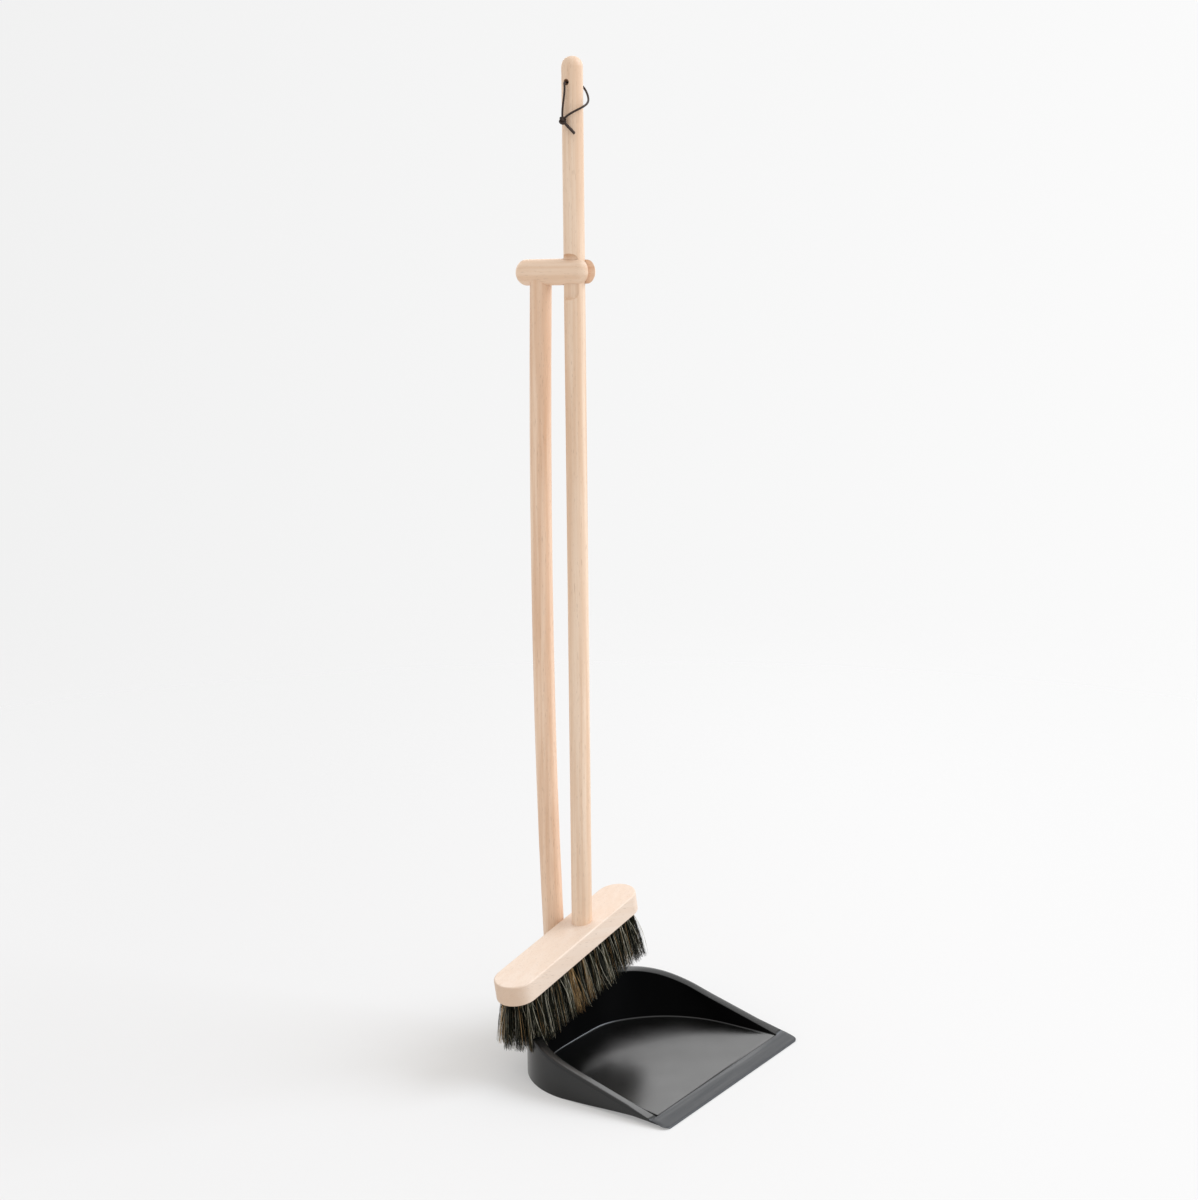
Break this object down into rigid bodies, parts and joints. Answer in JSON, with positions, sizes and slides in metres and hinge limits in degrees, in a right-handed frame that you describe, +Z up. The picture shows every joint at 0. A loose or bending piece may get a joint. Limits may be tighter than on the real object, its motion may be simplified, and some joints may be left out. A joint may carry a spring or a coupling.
{
  "type": "standing dustpan and brush",
  "caption": "Long-handled black dustpan with a rubber lip; a beech broom with dark bristles hangs in the forked grip on top of the pan's handle.",
  "frame": {"origin": "on the floor, at the foot of the pan's handle socket, in the pan's middle plane", "axes": "+Z up, +X along the pan's lip, the lip points towards -Y"},
  "size_m": [0.2453, 0.2421, 0.95],
  "materials": {
    "black_moulding": "semi-gloss",
    "lip_rubber": "satin",
    "screw_steel": "zinc plated",
    "pan_handle_beech": "oiled beech",
    "grip_beech": "oiled beech",
    "broom_handle_beech": "oiled beech",
    "block_beech": "fine sanded beech",
    "horsehair": "mixed dark hair",
    "thong_leather": "waxed thong"
  },
  "bodies": {
    "pan": {"pan_shell": "black_moulding", "rubber_lip": "lip_rubber", "socket_screw": "screw_steel", "pan_handle": "pan_handle_beech", "fork_grip": "grip_beech"},
    "broom": {"broom_handle": "broom_handle_beech", "brush_block": "block_beech", "handle_brad": "screw_steel", "bristles_front_outer": "horsehair", "bristles_front_inner": "horsehair", "bristles_rear_inner": "horsehair", "bristles_rear_outer": "horsehair", "tuft_anchors": "screw_steel", "thong_near": "thong_leather", "thong_far": "thong_leather", "thong_core": "thong_leather", "thong_knot": "thong_leather"}
  },
  "joints": [
    {"name": "broom_hang_slide", "type": "slide", "parent": "pan", "child": "broom", "axis": [0, -1, 0], "range_m": [0, 0.15]}
  ]
}
